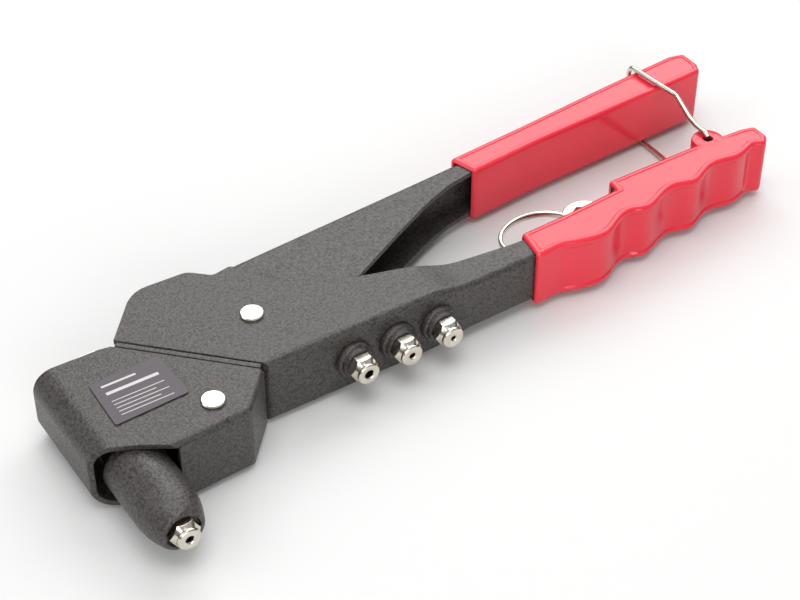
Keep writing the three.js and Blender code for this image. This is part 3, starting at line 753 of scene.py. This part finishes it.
def latch_wire():
    """The wire latch: hooked into the lower grip's ears, up both sides and across behind the upper grip."""
    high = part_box("latch_bail")[1]
    hinge = Vector(JOINTS["latch_swing"]["pos_m"])
    side = high.z - MID_Z - MM
    ear = Vector((188.1, -3.0)) * MM
    above_ear = ear.y + 1.6 * MM
    front = [(188.2, 3.8), (189.4, 9.5), (194.4, 23.5), (193.2, 34.5), (191.8, hinge.y / MM)]
    rear = [(190.6, hinge.y / MM), (188.7, 34.2), (188.7, 22.2), (188.2, 3.8)]
    points = [Vector((ear.x, ear.y, MID_Z + side - 0.7 * MM)), Vector((ear.x, above_ear, MID_Z + side))]
    points += [Vector((x * MM, y * MM, MID_Z + side)) for x, y in front]
    points += [Vector((x * MM, y * MM, MID_Z - side)) for x, y in rear]
    points += [Vector((ear.x, above_ear, MID_Z - side)), Vector((ear.x, ear.y, MID_Z - side + 0.7 * MM))]
    bends = [(2.8 if abs(p.y - hinge.y) < 0.1 * MM else 0.75) * MM for p in points[1:-1]]
    piece = wire("latch_wire", points, 0.98 * MM, bends)
    return stand_for(piece, "latch_bail", "latch", "nickel")


def softened(node, name, body, slot, width):
    """A small metal piece whose CAD shape is right: its edges are only broken."""
    piece = bevel_edges(finish_mesh(node_mesh(node), name), width, 3, angle=35)
    return stand_for(settle(piece), node, body, slot)


# ------------------------------------------------------------------ assembly

BORES = {
    "nosepiece_fitted": 1.3,
    "nosepiece_stored_1": 1.55,
    "nosepiece_stored_2": 1.05,
    "nosepiece_stored_3": 0.85,
}
SPRINGS = ("pusher_spring", "return_spring")
SLOT_OF = {row["node"]: row["material_slot"] for row in frame["record"]["subparts"]}
BODY_OF = {node: body for body, nodes in frame["record"]["behaviour"]["bodies"].items() for node in nodes}

fixed_channel()
moving_channel()
head_casing()
softened("hub_end_plate", "swivel_end_plate", "fixed_body", "coat", 0.35 * MM)
lower_sleeve()
upper_sleeve()
rivet("main_pivot_rivet", "pivot_rivet", "fixed_body")
rivet("rocker_rivet", "head_rivet", "head")
barrel()
for node_name, bore_radius in BORES.items():
    nosepiece(node_name, bore_radius)
for number in (1, 2, 3):
    bush(f"store_bush_{number}")
latch_wire()
softened("nosepiece_wrench", "ring_wrench", "wrench", "nickel", 0.7 * MM)
softened("rear_cover", "rear_closing_plate", "head", "nickel", 0.3 * MM)
softened("label_plate", "foil_plate", "head", "label", 0.08 * MM)
for node_name in NODES:
    if SLOT_OF[node_name] == "steel" and node_name not in SPRINGS:
        softened(node_name, f"{node_name}_finished", BODY_OF[node_name], "steel", 0.15 * MM)
for node_name in SPRINGS:
    NODES[node_name].material_slots[0].link = "OBJECT"
    NODES[node_name].material_slots[0].material = STEEL


# ------------------------------------------------------------------ studio

VIEW_AZIMUTH = radians(-32.7)
VIEW_ELEVATION = radians(40.5)
VIEW_DISTANCE = 0.6393
VIEW_TARGET = Vector((0.0449, -0.0189, 0.0252))
FOCAL_LENGTH = 87.75          # mm
SENSOR_WIDTH = 36.0           # mm


def direction(azimuth, elevation):
    """Where a lamp or the camera stands, seen from what it points at."""
    return Vector((sin(azimuth) * cos(elevation), -cos(azimuth) * cos(elevation), sin(elevation)))


def make_floor():
    """A pale floor that runs far past the picture."""
    bm = bmesh.new()
    bmesh.ops.create_grid(bm, x_segments=4, y_segments=4, size=3.0)
    floor = finish_mesh(bm, "studio_floor")
    floor.data.materials.append(floor_paper())


def area_light(name, target, azimuth, elevation, distance, size, power):
    """A rectangular softbox aimed at the target from the given direction."""
    away = direction(azimuth, elevation)
    data = bpy.data.lights.new(name, "AREA")
    data.shape = "RECTANGLE"
    data.size, data.size_y = size
    data.energy = power
    lamp = bpy.data.objects.new(name, data)
    lamp.location = target + away * distance
    lamp.rotation_euler = (-away).to_track_quat("-Z", "Y").to_euler()
    bpy.context.scene.collection.objects.link(lamp)


def studio_world():
    """A white ceiling that darkens towards the horizon, so that bright metal shows its facets."""
    world = bpy.data.worlds.new("studio")
    world.use_nodes = True
    tree = world.node_tree
    split = tree.nodes.new("ShaderNodeSeparateXYZ")
    ramp = tree.nodes.new("ShaderNodeValToRGB")
    stops = [(0.0, 0.1), (0.25, 0.22), (0.55, 0.75), (1.0, 0.6)]
    while len(ramp.color_ramp.elements) < len(stops):
        ramp.color_ramp.elements.new(0.5)
    for element, (position, level) in zip(ramp.color_ramp.elements, stops):
        element.position = position
        element.color = (level, level, level, 1)
    tree.links.new(tree.nodes.new("ShaderNodeTexCoord").outputs["Generated"], split.inputs["Vector"])
    tree.links.new(split.outputs["Z"], ramp.inputs["Fac"])
    tree.links.new(ramp.outputs["Color"], tree.nodes["Background"].inputs["Color"])
    tree.nodes["Background"].inputs["Strength"].default_value = 0.7
    bpy.context.scene.world = world


def make_camera():
    """The camera, at the angle, distance and focal length of the reference view."""
    data = bpy.data.cameras.new("camera")
    data.sensor_width = SENSOR_WIDTH
    data.lens = FOCAL_LENGTH
    data.clip_start = 0.01
    camera = bpy.data.objects.new("camera", data)
    look = -direction(VIEW_AZIMUTH, VIEW_ELEVATION)
    camera.location = VIEW_TARGET - look * VIEW_DISTANCE
    camera.rotation_euler = look.to_track_quat("-Z", "Y").to_euler()
    bpy.context.scene.collection.objects.link(camera)
    bpy.context.scene.camera = camera


make_floor()
studio_world()
TOWARDS_GRIPS = Vector((0.14, -0.09, 0))
area_light("back_softbox", VIEW_TARGET + TOWARDS_GRIPS, VIEW_AZIMUTH + pi, radians(44), 1.1, (1.3, 0.75), 9)
area_light("overhead_softbox", VIEW_TARGET, VIEW_AZIMUTH, radians(82), 1.2, (0.8, 0.8), 7)
area_light("front_fill", VIEW_TARGET, VIEW_AZIMUTH + radians(12), radians(22), 1.4, (1.2, 0.6), 9)
area_light("left_softbox", VIEW_TARGET, VIEW_AZIMUTH - radians(80), radians(35), 1.2, (0.7, 0.9), 2.5)
make_camera()
bpy.context.scene.view_settings.view_transform = "Standard"
